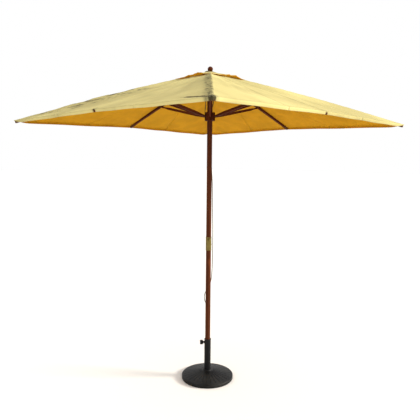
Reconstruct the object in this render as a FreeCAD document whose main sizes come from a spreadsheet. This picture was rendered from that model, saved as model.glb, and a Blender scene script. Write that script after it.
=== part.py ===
"""Square wooden market parasol, 2 m by 2 m, on a round weighted base.

Millimetres, +Z up. The origin is the centre of the ring that rests on the ground. The four
sides of the canopy face +X, -X, +Y and -Y, so the corner ribs lie on the diagonals.
The ribs and struts fold together when the runner slides down the pole.
"""
import FreeCAD, Part
import math
import os
import Sketcher

DOC = FreeCAD.newDocument("market_parasol")

DRIVING = {
    "base_r": 195.0,
    "base_rim": 25.0,
    "base_top": 60.0,
    "base_wall": 12.0,
    "base_floor": 12.0,
    "base_groove_count": 30.0,
    "tube_r": 24.5,
    "tube_bore": 22.0,
    "tube_foot": 20.0,
    "tube_top": 297.0,
    "plug_height": 14.0,
    "bolt_r": 5.0,
    "clamp_z": 275.0,
    "clamp_screw_r": 4.0,
    "clamp_boss_r": 9.0,
    "clamp_boss_end": 29.5,
    "knob_r": 17.0,
    "knob_start": 31.0,
    "knob_length": 27.0,
    "running_gap": 0.07,
    "face_gap": 0.3,
    "pole_r": 19.0,
    "pole_joint": 1046.0,
    "pole_top": 2274.0,
    "ferrule_r": 22.0,
    "ferrule_low": 987.0,
    "ferrule_top": 1086.0,
    "ferrule_screw_z": 1030.0,
    "ferrule_screw_r": 1.6,
    "ferrule_screw_depth": 8.0,
    "pulley_z": 2130.0,
    "pulley_r": 27.5,
    "pulley_width": 9.0,
    "rope_line_r": 28.0,
    "rope_r": 3.0,
    "finial_z": 2304.0,
    "finial_r": 19.0,
    "crown_r": 52.0,
    "crown_z": 2258.0,
    "crown_pivot": 42.0,
    "pin_r": 2.0,
    "rib_width": 16.0,
    "rib_depth": 22.0,
    "rib_tip_depth": 14.0,
    "corner_slope": 14.1,
    "corner_length": 1404.0,
    "corner_arch": 16.0,
    "corner_joint": 518.0,
    "side_slope": 19.5,
    "side_length": 971.0,
    "side_arch": 4.0,
    "side_joint": 540.0,
    "joint_drop": 6.0,
    "strut_width": 11.0,
    "strut_depth": 18.0,
    "strut_nose": 5.0,
    "tongue_width": 6.0,
    "tongue_nose": 5.5,
    "tongue_length": 60.0,
    "runner_z": 1968.0,
    "runner_half": 29.0,
    "runner_flat": 37.0,
    "runner_point": 49.0,
    "runner_corner_pivot": 34.0,
    "runner_side_pivot": 44.0,
    "canopy_half": 1000.0,
    "canopy_side_tip": 959.0,
    "canopy_vent": 110.0,
    "cap_half": 177.0,
    "cap_peak": 2284.0,
    "cap_rim": 2229.5,
    "fabric": 1.5,
    "side_clearance": 0.5,
    "corner_clearance": 2.6,
}

SHEET = DOC.addObject("Spreadsheet::Sheet", "Sizes")
for row, (alias, number) in enumerate(DRIVING.items(), start=1):
    SHEET.set("A%d" % row, alias)
    SHEET.set("B%d" % row, str(number))
    SHEET.setAlias("B%d" % row, alias)
DOC.recompute()


class Size:
    """A number of millimetres or degrees, with the sheet expression that gives it."""

    def __init__(self, value, text):
        self.value = value
        self.text = text

    def __add__(self, other):
        other = as_size(other)
        return Size(self.value + other.value, "(%s + %s)" % (self.text, other.text))

    def __sub__(self, other):
        other = as_size(other)
        return Size(self.value - other.value, "(%s - %s)" % (self.text, other.text))

    def __mul__(self, other):
        other = as_size(other)
        return Size(self.value * other.value, "(%s * %s)" % (self.text, other.text))

    def __truediv__(self, other):
        other = as_size(other)
        return Size(self.value / other.value, "(%s / %s)" % (self.text, other.text))

    def __neg__(self):
        return as_size(0) - self

    __radd__ = __add__
    __rmul__ = __mul__

    def __rsub__(self, other):
        return as_size(other) - self


def as_size(thing):
    if isinstance(thing, Size):
        return thing
    return Size(float(thing), "%.6f" % thing)


class Sheet:
    """Gives each alias of the sheet as a Size."""

    def __getattr__(self, alias):
        return Size(float(SHEET.get(alias)), "Sizes.%s" % alias)


D = Sheet()
ORIGIN = FreeCAD.Vector(0, 0, 0)
UP = FreeCAD.Vector(0, 0, 1)
CORNER_NAMES = {45: "corner_pp", 135: "corner_np", 225: "corner_nn", 315: "corner_pn"}
SIDE_NAMES = {0: "side_px", 90: "side_py", 180: "side_nx", 270: "side_ny"}


# ---------------------------------------------------------------- drawing helpers


def new_body(name):
    body = DOC.addObject("PartDesign::Body", name)
    body.Label = name
    return body


def new_sketch(body, name, plane="XZ_Plane", lift=None):
    sketch = body.newObject("Sketcher::SketchObject", name)
    for feature in body.Origin.OriginFeatures:
        if feature.Role == plane:
            sketch.AttachmentSupport = [(feature, "")]
    sketch.MapMode = "FlatFace"
    if lift is not None:
        sketch.setExpression("AttachmentOffset.Base.z", as_size(lift).text)
    return sketch


def bend_centre(start, end, radius):
    """Centre of the arc from start to end; a positive radius turns left."""
    middle = (start + end) * 0.5
    chord = end - start
    reach = math.sqrt(max(radius * radius - chord.Length * chord.Length / 4.0, 0.0))
    left = FreeCAD.Vector(-chord.y, chord.x, 0).normalize()
    return middle + left * math.copysign(reach, radius)


def draw_outline(sketch, outline):
    """Closed outline of (x, y) or (x, y, bend) points; bend rounds the edge that ends there."""
    spots = [FreeCAD.Vector(as_size(p[0]).value, as_size(p[1]).value, 0) for p in outline]
    first = sketch.GeometryCount
    for index, point in enumerate(outline):
        start = spots[index - 1]
        end = spots[index]
        if len(point) == 2:
            sketch.addGeometry(Part.LineSegment(start, end), False)
            continue
        radius = point[2].value
        centre = bend_centre(start, end, radius)
        angles = [math.atan2(v.y - centre.y, v.x - centre.x) for v in (start, end)]
        if radius < 0:
            angles.reverse()
        circle = Part.Circle(centre, UP, abs(radius))
        if angles[1] < angles[0]:
            angles[1] += 2 * math.pi
        sketch.addGeometry(Part.ArcOfCircle(circle, angles[0], angles[1]), False)
    ends = []
    for point in outline:
        reverse = len(point) == 3 and point[2].value < 0
        ends.append((2, 1) if reverse else (1, 2))
    for index, point in enumerate(outline):
        geo = first + index
        after = (index + 1) % len(outline)
        sketch.addConstraint(
            Sketcher.Constraint("Coincident", geo, ends[index][1], first + after, ends[after][0])
        )
    for index, point in enumerate(outline):
        geo = first + index
        for kind, size in (("DistanceX", point[0]), ("DistanceY", point[1])):
            bind_constraint(sketch, kind, (-1, 1, geo, ends[index][1]), as_size(size))
        if len(point) == 3:
            bind_constraint(sketch, "Radius", (geo,), magnitude(point[2]))
    return sketch


def magnitude(size):
    return -size if size.value < 0 else size


def bind_constraint(sketch, kind, places, size):
    number = sketch.addConstraint(Sketcher.Constraint(kind, *places, size.value))
    sketch.setExpression("Constraints[%d]" % number, size.text)


def draw_circle(sketch, x, y, radius):
    x, y, radius = as_size(x), as_size(y), as_size(radius)
    circle = Part.Circle(FreeCAD.Vector(x.value, y.value, 0), UP, radius.value)
    geo = sketch.addGeometry(circle, False)
    bind_constraint(sketch, "DistanceX", (-1, 1, geo, 3), x)
    bind_constraint(sketch, "DistanceY", (-1, 1, geo, 3), y)
    bind_constraint(sketch, "Radius", (geo,), radius)
    return sketch


def turn(body, name, outline):
    """Revolves an outline in the body's XZ plane about its Z axis."""
    sketch = draw_outline(new_sketch(body, name + "_outline"), outline)
    feature = body.newObject("PartDesign::Revolution", name)
    feature.Profile = sketch
    feature.ReferenceAxis = (sketch, ["V_Axis"])
    feature.Angle = 360.0
    return feature


def pad(body, name, sketch, length, middle=True):
    feature = body.newObject("PartDesign::Pad", name)
    feature.Profile = sketch
    feature.SideType = "Symmetric" if middle else "One side"
    feature.setExpression("Length", as_size(length).text)
    return feature


def cut(body, name, sketch, length, middle=True, reverse=False):
    """Cuts a pocket and makes sure that it takes material away."""
    DOC.recompute()
    before = body.Shape.Volume
    feature = body.newObject("PartDesign::Pocket", name)
    feature.Profile = sketch
    feature.SideType = "Symmetric" if middle else "One side"
    feature.Reversed = reverse
    feature.setExpression("Length", as_size(length).text)
    DOC.recompute()
    if body.Shape.Volume > before - 0.5:
        raise RuntimeError("%s cuts nothing" % name)
    return feature


def ring_pattern(body, name, feature, count):
    pattern = body.newObject("PartDesign::PolarPattern", name)
    pattern.Originals = [feature]
    for axis in body.Origin.OriginFeatures:
        if axis.Role == "Z_Axis":
            pattern.Axis = (axis, [""])
    pattern.Angle = 360.0
    pattern.Occurrences = int(as_size(count).value)
    body.Tip = pattern
    DOC.recompute()
    return pattern


def place(thing, base=ORIGIN, turns=()):
    """Moves a part to base after turning it by the (axis, angle) pairs, first to last."""
    rotation = FreeCAD.Rotation()
    for axis, angle in turns:
        rotation = FreeCAD.Rotation(axis, angle).multiply(rotation)
    thing.Placement = FreeCAD.Placement(base, rotation)
    return thing


def cylinder(name, radius, height, base=ORIGIN, turns=()):
    rod = DOC.addObject("Part::Cylinder", name)
    rod.Label = name
    rod.setExpression("Radius", as_size(radius).text)
    rod.setExpression("Height", as_size(height).text)
    return place(rod, base, turns)


def group(name, things):
    """Joins separate identical solids into one named node."""
    joined = DOC.addObject("Part::Compound", name)
    joined.Label = name
    joined.Links = things
    return joined


def carve(name, base, tools):
    tool = tools[0]
    if len(tools) > 1:
        tool = group(name + "_tools", tools)
    result = DOC.addObject("Part::Cut", name)
    result.Label = name
    result.Base = base
    result.Tool = tool
    return result


def around(radius, azimuth, z):
    angle = math.radians(azimuth)
    return FreeCAD.Vector(radius * math.cos(angle), radius * math.sin(angle), z)


TO_X = (FreeCAD.Vector(0, 1, 0), 90.0)
TO_Y = (FreeCAD.Vector(1, 0, 0), -90.0)


def facing(azimuth):
    return (UP, azimuth)


# ---------------------------------------------------------------- base and clamp

CLAMP_AZIMUTH = 225.0
FERRULE_SCREW_AZIMUTHS = (45.0, 135.0)


def base_disc():
    """Cast shell: rim, cone and collar outside, hollow below, with radial grooves on the cone."""
    body = new_body("base_disc")
    cone_foot = D.base_r - 9
    collar = D.tube_r + 5.5
    turn(body, "base_shell", [
        (D.tube_r + 0.1, D.base_floor + 8),
        (D.bolt_r + 0.5, D.base_floor + 8),
        (D.bolt_r + 0.5, D.base_floor),
        (collar + 14, D.base_floor),
        (collar + 16, D.base_top - 3 - D.base_wall),
        (cone_foot - 6, D.base_rim - D.base_wall + 1),
        (D.base_r - D.base_wall, 0),
        (D.base_r - 2, 0),
        (D.base_r, 2, as_size(2)),
        (D.base_r, D.base_rim - 5),
        (D.base_r - 5, D.base_rim, as_size(5)),
        (cone_foot, D.base_rim + 1.5),
        (collar + 8, D.base_top - 3),
        (collar + 1, D.base_top + 5, as_size(-9)),
        (collar - 1, D.base_top + 7, as_size(2)),
        (D.tube_r + 0.1, D.base_top + 7),
    ])
    slope_drop = 2.4
    sketch = draw_outline(new_sketch(body, "groove_outline"), [
        (collar + 14, D.base_top + 4),
        (collar + 14, D.base_top - 4.2 - slope_drop),
        (cone_foot - 8, D.base_rim + 3.2 - slope_drop),
        (cone_foot - 8, D.base_rim + 9),
    ])
    groove = cut(body, "radial_groove", sketch, 3.4)
    ring_pattern(body, "radial_grooves", groove, D.base_groove_count)
    return body


def base_fixings():
    seat = FreeCAD.Vector(0, 0, D.base_floor.value - 2)
    blank = cylinder("washer_blank", D.bolt_r + 7, 2, seat)
    carve("base_washer", blank, [cylinder("washer_hole", D.bolt_r + D.running_gap, 2, seat)])
    body = new_body("base_bolt")
    head_top = D.base_floor - 2
    head = new_sketch(body, "hex_outline", "XY_Plane", head_top - 6.4)
    across = D.bolt_r * 1.7
    half = across * 0.866
    draw_outline(head, [
        (across, 0), (across * 0.5, half), (-across * 0.5, half),
        (-across, 0), (-across * 0.5, -half), (across * 0.5, -half),
    ])
    pad(body, "hex_head", head, 6.4, middle=False)
    shank = draw_circle(new_sketch(body, "shank_outline", "XY_Plane", head_top - 0.4), 0, 0, D.bolt_r)
    pad(body, "shank", shank, D.plug_height + 8, middle=False)


def base_tube():
    """Steel tube with the plug that the base bolt screws into, and the clamp's hole."""
    plug = new_body("tube_plug")
    turn(plug, "plug_ring", [
        (D.tube_bore, D.tube_foot),
        (D.tube_bore, D.tube_foot + D.plug_height),
        (D.bolt_r, D.tube_foot + D.plug_height),
        (D.bolt_r, D.tube_foot),
    ])
    blank = new_body("tube_blank")
    turn(blank, "tube_wall", [
        (D.tube_r, D.tube_foot),
        (D.tube_r, D.tube_top - 1.5),
        (D.tube_r - 1.5, D.tube_top, as_size(1.5)),
        (D.tube_bore, D.tube_top),
        (D.tube_bore, D.tube_foot),
    ])
    hole = cylinder("tube_hole", D.clamp_screw_r + D.running_gap, D.tube_r + 5,
                    FreeCAD.Vector(0, 0, D.clamp_z.value), [TO_X, facing(CLAMP_AZIMUTH)])
    carve("base_tube", blank, [hole])


def clamp_parts():
    """Threaded boss on the tube, the nylon pad, the screw and the lobed knob that turns it."""
    level = FreeCAD.Vector(0, 0, D.clamp_z.value)
    turns = [TO_X, facing(CLAMP_AZIMUTH)]
    hole = cylinder("boss_hole", D.clamp_screw_r + D.running_gap, 60, level, turns)
    boss_start = D.tube_r - 0.5
    block = cylinder("boss_block", D.clamp_boss_r, D.clamp_boss_end - boss_start,
                     around(boss_start.value, CLAMP_AZIMUTH, D.clamp_z.value), turns)
    saddle = cylinder("boss_saddle", D.tube_r, 40,
                      FreeCAD.Vector(0, 0, D.clamp_z.value - 20))
    carve("clamp_boss", block, [hole, saddle])
    pad_start = D.tube_bore + 0.3
    pad_length = 3.2
    cylinder("clamp_pad", D.clamp_screw_r, pad_length,
             around(pad_start.value, CLAMP_AZIMUTH, D.clamp_z.value), turns)
    screw_start = pad_start + pad_length + D.face_gap
    screw_end = D.knob_start + D.knob_length - 7
    cylinder("clamp_screw", D.clamp_screw_r, screw_end - screw_start,
             around(screw_start.value, CLAMP_AZIMUTH, D.clamp_z.value), turns)
    knob = new_body("clamp_knob")
    neck = D.knob_r - 7
    depth = D.knob_length - 7
    turn(knob, "knob_form", [
        (D.clamp_screw_r, 0),
        (neck, 0),
        (neck, 4),
        (D.knob_r - 3, 6),
        (D.knob_r, 9, as_size(4.4)),
        (D.knob_r, D.knob_length - 4),
        (D.knob_r - 4, D.knob_length, as_size(4)),
        (0, D.knob_length),
        (0, depth),
        (D.clamp_screw_r, depth),
    ])
    flute = draw_circle(new_sketch(knob, "flute_outline", "XY_Plane", as_size(4.5)),
                        D.knob_r + 3.2, 0, 5.2)
    notch = cut(knob, "flute", flute, D.knob_length, middle=False, reverse=True)
    ring_pattern(knob, "flutes", notch, 7)
    place(knob, around(D.knob_start.value, CLAMP_AZIMUTH, D.clamp_z.value), turns)


# ---------------------------------------------------------------- pole


def pole_bush():
    """Plastic reducer sleeve that turns in the tube with the pole; its flange caps the tube."""
    body = new_body("pole_bush")
    bore = D.pole_r + D.running_gap
    outside = D.tube_bore - D.running_gap
    low = D.tube_foot + D.plug_height + 2
    flange = D.tube_top + D.face_gap
    turn(body, "bush_sleeve", [
        (bore, low),
        (outside, low),
        (outside, flange),
        (D.tube_r + 1.6, flange),
        (D.tube_r + 1.6, flange + 3.5),
        (D.tube_r + 0.1, flange + 5, as_size(1.5)),
        (bore, flange + 5),
    ])


def screw_holes(name, reach):
    """Holes for the ferrule's two screws, from the bottom of each screw out to its head."""
    holes = []
    for number, azimuth in enumerate(FERRULE_SCREW_AZIMUTHS):
        seat = around((D.pole_r - D.ferrule_screw_depth).value, azimuth, D.ferrule_screw_z.value)
        holes.append(cylinder("%s_%d" % (name, number), D.ferrule_screw_r, reach, seat,
                              [TO_X, facing(azimuth)]))
    return holes


def lower_pole():
    body = new_body("lower_rod_blank")
    low = D.tube_foot + D.plug_height + 1
    turn(body, "lower_rod", [
        (0, low),
        (D.pole_r - 2, low),
        (D.pole_r, low + 2),
        (D.pole_r, D.pole_joint - 1),
        (D.pole_r - 1, D.pole_joint),
        (0, D.pole_joint),
    ])
    carve("lower_pole", body, screw_holes("pole_screw_hole", D.ferrule_screw_depth + 1))


def ferrule():
    """Brass sleeve over the pole's joint, beaded at its ends, and its two screws."""
    blank = new_body("ferrule_blank")
    bore = D.pole_r + 0.05
    bead = D.ferrule_r - 0.8
    turn(blank, "ferrule_sleeve", [
        (bore, D.ferrule_low),
        (D.ferrule_r, D.ferrule_low),
        (D.ferrule_r, D.ferrule_low + 5),
        (bead, D.ferrule_low + 6),
        (bead, D.ferrule_top - 6),
        (D.ferrule_r, D.ferrule_top - 5),
        (D.ferrule_r, D.ferrule_top),
        (bore, D.ferrule_top),
    ])
    screws = []
    for number, azimuth in enumerate(FERRULE_SCREW_AZIMUTHS):
        seat = around((D.pole_r - D.ferrule_screw_depth).value, azimuth, D.ferrule_screw_z.value)
        screw = new_body("ferrule_screw_%d" % number)
        head = bead - D.pole_r + D.ferrule_screw_depth
        turn(screw, "screw_form_%d" % number, [
            (0, 0),
            (D.ferrule_screw_r, 2.5),
            (D.ferrule_screw_r, head),
            (4.2, head),
            (2.6, head + 2.2, as_size(3.2)),
            (0, head + 2.4),
        ])
        screws.append(place(screw, seat, [TO_X, facing(azimuth)]))
    carve("pole_ferrule", blank, screw_holes("ferrule_hole", 20))
    group("ferrule_screws", screws)


def upper_pole():
    """Upper rod with the slot for the pulley and the hole for its axle."""
    body = new_body("upper_rod")
    low = D.pole_joint + 0.4
    turn(body, "upper_form", [
        (0, low),
        (D.pole_r - 1, low),
        (D.pole_r, low + 1),
        (D.pole_r, D.pole_top - 1),
        (D.pole_r - 1, D.pole_top),
        (0, D.pole_top),
    ])
    width = D.pulley_width + 1
    height = D.pulley_r * 2 + 14
    slot = DOC.addObject("Part::Box", "pulley_slot")
    slot.setExpression("Length", "100")
    slot.setExpression("Width", width.text)
    slot.setExpression("Height", height.text)
    turned = FreeCAD.Rotation(UP, 45.0)
    corner = turned.multVec(FreeCAD.Vector(-50, -width.value / 2, 0))
    corner.z = D.pulley_z.value - height.value / 2 + 3
    slot.Placement = FreeCAD.Placement(corner, turned)
    half = D.pole_r.value - 1
    seat = around(half, 315.0, D.pulley_z.value)
    hole = cylinder("axle_hole", 2.5, half * 2, seat, [TO_X, facing(135.0)])
    stud = cylinder("stud_hole", 4, 16, FreeCAD.Vector(0, 0, D.pole_top.value - 16))
    carve("upper_pole", body, [slot, hole, stud])
    cylinder("pulley_axle", 2.5, half * 2, seat, [TO_X, facing(135.0)])


def pulley_wheel():
    body = new_body("pulley_wheel")
    half = D.pulley_width / 2
    bore = as_size(2.55)
    lip = D.rope_r + 0.8
    groove = D.rope_line_r - lip
    turn(body, "wheel_form", [
        (bore, -half),
        (D.pulley_r, -half),
        (D.pulley_r, -lip + 0.1),
        (groove, 0, -lip),
        (D.pulley_r, lip - 0.1, -lip),
        (D.pulley_r, half),
        (bore, half),
    ])
    place(body, FreeCAD.Vector(0, 0, D.pulley_z.value), [TO_Y, facing(45.0)])


def finial():
    """Turned ball on a short neck, with the stud that goes down into the pole."""
    body = new_body("finial")
    neck = D.cap_peak + D.fabric + 0.6
    turn(body, "finial_form", [
        (0, D.pole_top - 14),
        (4, D.pole_top - 14),
        (4, neck),
        (D.finial_r * 0.5, neck),
        (D.finial_r * 0.5, D.finial_z - D.finial_r * 0.866),
        (D.finial_r, D.finial_z, D.finial_r),
        (D.finial_r * 0.08, D.finial_z + D.finial_r * 0.9968, D.finial_r),
        (0, D.finial_z + D.finial_r * 0.9968),
    ])


# ---------------------------------------------------------------- crown, ribs and struts


def crown():
    """Round slotted hub under the canopy, and the eight pins that the ribs turn on."""
    blank = new_body("crown_blank")
    low = D.crown_z - 20
    high = D.crown_z + 9
    turn(blank, "crown_form", [
        (D.pole_r, low),
        (D.crown_r - 8, low),
        (D.crown_r, low + 8, as_size(8)),
        (D.crown_r, high - 3),
        (D.crown_r - 3, high, as_size(3)),
        (D.pole_r, high),
    ])
    slot = draw_outline(new_sketch(blank, "crown_slot_outline", "XY_Plane", low - 5), [
        (D.crown_pivot - D.rib_depth / 2 - 1.5, -(D.rib_width / 2 + 0.4)),
        (D.crown_r + 5, -(D.rib_width / 2 + 0.4)),
        (D.crown_r + 5, D.rib_width / 2 + 0.4),
        (D.crown_pivot - D.rib_depth / 2 - 1.5, D.rib_width / 2 + 0.4),
    ])
    first = cut(blank, "crown_slot", slot, 60, middle=False, reverse=True)
    ring_pattern(blank, "crown_slots", first, 8)
    pins = []
    holes = []
    for number in range(8):
        azimuth = 45.0 * number
        side = around(14.5, azimuth - 90.0, 0)
        seat = around(D.crown_pivot.value, azimuth, D.crown_z.value) + side
        turns = [TO_X, facing(azimuth + 90.0)]
        pins.append(cylinder("crown_pin_%d" % number, D.pin_r, 29, seat, turns))
        holes.append(cylinder("crown_hole_%d" % number, D.pin_r, 29, seat, turns))
    carve("crown_hub", blank, holes)
    group("crown_pins", pins)


def half_depth(along, length):
    """Half the depth of a tapered rib at a distance from its crown pin."""
    return D.rib_depth / 2 - (D.rib_depth - D.rib_tip_depth) / 2 * (along / length)


def arch_lift(along, length, arch):
    """Rise of a rib's arched line above the straight line between its ends."""
    share = along / length
    return arch * 4 * share * (1 - share)


def arch_bend(length, arch):
    return (length * length / 4 + arch * arch) / (arch * 2)


def rib(name, azimuth, slope, length, arch, joint):
    """Tapered, lightly arched wooden rib with a round nose, a strut mortise and two bores."""
    body = new_body(name)
    nose = D.rib_depth / 2
    tip = D.rib_tip_depth / 2
    bend = arch_bend(length, arch)
    draw = draw_outline(new_sketch(body, name + "_outline"), [
        (-nose, 0, nose),
        (0, -nose, nose),
        (length, -tip, -bend),
        (length + 3, -tip + 3, as_size(3)),
        (length + 3, tip - 3),
        (length, tip, as_size(3)),
        (0, nose, bend),
    ])
    pad(body, name + "_bar", draw, D.rib_width)
    lift = arch_lift(joint, length, arch)
    pivot = lift - D.joint_drop
    mortise = draw_outline(new_sketch(body, name + "_mortise_outline"), [
        (joint - 24, pivot - 30),
        (joint + 56, pivot - 30),
        (joint + 56, pivot + D.tongue_nose + 0.8),
        (joint - 24, pivot + D.tongue_nose + 0.8),
    ])
    cut(body, name + "_mortise", mortise, D.tongue_width + 0.8)
    bores = new_sketch(body, name + "_bores")
    draw_circle(bores, 0, 0, D.pin_r + 0.05)
    draw_circle(bores, joint, pivot, D.pin_r)
    cut(body, name + "_bore", bores, D.rib_width + 2)
    base = around(D.crown_pivot.value, azimuth, D.crown_z.value)
    turns = [(FreeCAD.Vector(0, 1, 0), slope.value), facing(azimuth)]
    place(body, base, turns)
    joint_at = body.Placement.multVec(FreeCAD.Vector(joint.value, 0, pivot.value))
    seat = joint_at - around(D.rib_width.value / 2, azimuth + 90.0, 0)
    cylinder(name.replace("_rib", "_pin"), D.pin_r, D.rib_width, seat, [TO_X, facing(azimuth + 90.0)])
    return joint_at


def strut(name, azimuth, joint_at, runner_pivot):
    """Flat batten: thin tongue in the rib's mortise, full width down to its rounded runner end."""
    body = new_body(name)
    out = math.hypot(joint_at.x, joint_at.y) - runner_pivot.value
    rise = joint_at.z - D.runner_z.value
    # The span follows from the pins' places, so it has a cell of its own in the sheet.
    alias = name + "_span"
    row = len(DRIVING) + len(SPANS) + 1
    SHEET.set("A%d" % row, alias)
    SHEET.set("B%d" % row, "%.6f" % math.hypot(out, rise))
    SHEET.setAlias("B%d" % row, alias)
    SPANS.append(alias)
    DOC.recompute()
    span = getattr(D, alias)
    nose = D.tongue_nose
    deep = D.strut_depth / 2
    end = D.strut_nose
    tongue = draw_outline(new_sketch(body, name + "_tongue_outline"), [
        (-nose, 0, nose),
        (0, -nose, nose),
        (D.tongue_length + 10, -nose),
        (D.tongue_length + 10, nose),
        (0, nose),
    ])
    pad(body, name + "_tongue", tongue, D.tongue_width)
    bar = draw_outline(new_sketch(body, name + "_bar_outline"), [
        (D.tongue_length, -nose),
        (D.tongue_length + 40, -deep),
        (span - 90, -deep),
        (span - 12, -end),
        (span, -end),
        (span + end, 0, end),
        (span, end, end),
        (span - 12, end),
        (span - 90, deep),
        (D.tongue_length + 40, deep),
        (D.tongue_length, nose),
    ])
    pad(body, name + "_bar", bar, D.strut_width)
    bores = new_sketch(body, name + "_bores")
    draw_circle(bores, 0, 0, D.pin_r + 0.05)
    draw_circle(bores, span, 0, 1.6)
    cut(body, name + "_bore", bores, D.strut_width + 2)
    tilt = 180.0 - math.degrees(math.atan2(rise, out))
    turns = [(FreeCAD.Vector(0, 1, 0), tilt), facing(azimuth)]
    place(body, joint_at, turns)


SPANS = []


def runner():
    """Wooden runner: eight-sided block, bored for the pole, slotted for the strut ends."""
    blank = new_body("runner_blank")
    flat = D.runner_flat * math.sqrt(2)
    point = D.runner_point
    low = D.runner_z - D.runner_half
    high = D.runner_z + D.runner_half
    block = draw_outline(new_sketch(blank, "runner_outline", "XY_Plane", low), [
        (point, flat - point), (flat - point, point), (point - flat, point), (-point, flat - point),
        (-point, point - flat), (point - flat, -point), (flat - point, -point), (point, point - flat),
    ])
    pad(blank, "runner_block", block, D.runner_half * 2, middle=False)
    bore = draw_circle(new_sketch(blank, "runner_bore_outline", "XY_Plane", low - 2), 0, 0,
                       D.pole_r + 0.6)
    cut(blank, "runner_bore", bore, D.runner_half * 2 + 4, middle=False, reverse=True)
    half = D.strut_width / 2 + 0.5
    for name, start, turned in (("side_slot", D.runner_side_pivot - 11.5, False),
                                ("corner_slot", D.runner_corner_pivot - 6, True)):
        sketch = new_sketch(blank, name + "_outline", "XY_Plane", low - 2)
        if turned:
            sketch.AttachmentOffset = FreeCAD.Placement(
                FreeCAD.Vector(0, 0, low.value - 2), FreeCAD.Rotation(UP, 45.0))
        draw_outline(sketch, [(start, -half), (point + 20, -half), (point + 20, half), (start, half)])
        slot = cut(blank, name, sketch, D.runner_half * 2 + 4, middle=False, reverse=True)
        ring_pattern(blank, name + "s", slot, 4)
    groove = cylinder("rope_groove", 4.8, D.runner_half * 2 + 4,
                      around(23.4, 112.5, low.value - 2))
    eye_at = around(38.0, 202.5, high.value)
    stem_hole = cylinder("eye_hole", 1.2, 10, eye_at - FreeCAD.Vector(0, 0, 8))
    carve("runner_hub", blank, [groove, stem_hole])
    stem = cylinder("eye_stem", 1.2, 10, eye_at - FreeCAD.Vector(0, 0, 8))
    ring = DOC.addObject("Part::Torus", "eye_ring")
    ring.Radius1 = 4.5
    ring.Radius2 = 1.2
    place(ring, eye_at + FreeCAD.Vector(0, 0, 6.0), [TO_Y, facing(112.5)])
    eye = DOC.addObject("Part::Fuse", "runner_eye")
    eye.Label = "runner_eye"
    eye.Base = stem
    eye.Tool = ring


# ---------------------------------------------------------------- fabric


def rib_top(distance, slope, length, arch):
    """Height of a rib's upper edge at a horizontal distance from the pole's axis."""
    along = (distance - D.crown_pivot.value) / math.cos(math.radians(slope.value))
    share = min(max(along / length.value, 0.0), 1.0)
    rise = arch.value * 4 * share * (1 - share)
    taper = (D.rib_depth.value - D.rib_tip_depth.value) / 2 * along / length.value
    above = D.rib_depth.value / 2 - taper + rise
    return (D.crown_z.value - (distance - D.crown_pivot.value) * math.tan(math.radians(slope.value))
            + above / math.cos(math.radians(slope.value)))


def fabric_z(across, share):
    """Top of the cloth at a distance across from the pole, 0 on a side rib to 1 on a corner rib."""
    side = rib_top(across, D.side_slope, D.side_length, D.side_arch)
    corner = rib_top(across * math.sqrt(2), D.corner_slope, D.corner_length, D.corner_arch)
    side += D.side_clearance.value
    corner += D.corner_clearance.value
    return side + (corner - side) * share + D.fabric.value


def cloth(name, rows, thickness):
    """Closed thin solid under a grid of points, made of small flat faces."""
    drop = FreeCAD.Vector(0, 0, -thickness)
    below = [[point + drop for point in row] for row in rows]
    faces = []

    def add(a, b, c):
        if (b - a).cross(c - a).Length > 1e-6:
            faces.append(Part.Face(Part.makePolygon([a, b, c, a])))

    def panel(a, b, c, d):
        add(a, b, c)
        add(a, c, d)

    last = len(rows) - 1
    width = len(rows[0]) - 1
    for i in range(last):
        for j in range(width):
            panel(rows[i][j], rows[i + 1][j], rows[i + 1][j + 1], rows[i][j + 1])
            panel(below[i][j], below[i][j + 1], below[i + 1][j + 1], below[i + 1][j])
        panel(rows[i][0], below[i][0], below[i + 1][0], rows[i + 1][0])
        panel(rows[i][width], rows[i + 1][width], below[i + 1][width], below[i][width])
    for j in range(width):
        panel(rows[0][j], rows[0][j + 1], below[0][j + 1], below[0][j])
        panel(rows[last][j], below[last][j], below[last][j + 1], rows[last][j + 1])
    solid = Part.Solid(Part.makeShell(faces))
    if solid.Volume < 0:
        solid.reverse()
    feature = DOC.addObject("Part::Feature", name)
    feature.Label = name
    feature.Shape = solid
    feature.Placement = FreeCAD.Placement()
    return feature


def canopy_point(azimuth, turned, run):
    """Point of the canopy: turned degrees from the azimuth, run 0 at the vent to 1 at the hem."""
    angle = math.radians(azimuth + turned)
    nearest = math.radians(90.0 * round((azimuth + turned) / 90.0))
    share = abs(math.tan(angle - nearest))
    hem = D.canopy_side_tip.value + (D.canopy_half.value - D.canopy_side_tip.value) * share
    across = D.canopy_vent.value + (hem - D.canopy_vent.value) * run
    reach = across / math.cos(angle - nearest)
    return FreeCAD.Vector(reach * math.cos(angle), reach * math.sin(angle), fabric_z(across, share))


def canopy_panels():
    """Eight panels, one on each rib, that meet half way between the ribs."""
    half = 22.5 - 0.04
    for names in (CORNER_NAMES, SIDE_NAMES):
        for azimuth, name in names.items():
            rows = []
            for i in range(9):
                rows.append([canopy_point(azimuth, turned, i / 8.0)
                             for turned in (-half, -half / 2, 0.0, half / 2, half)])
            cloth(name + "_panel", rows, D.fabric.value)


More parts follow.
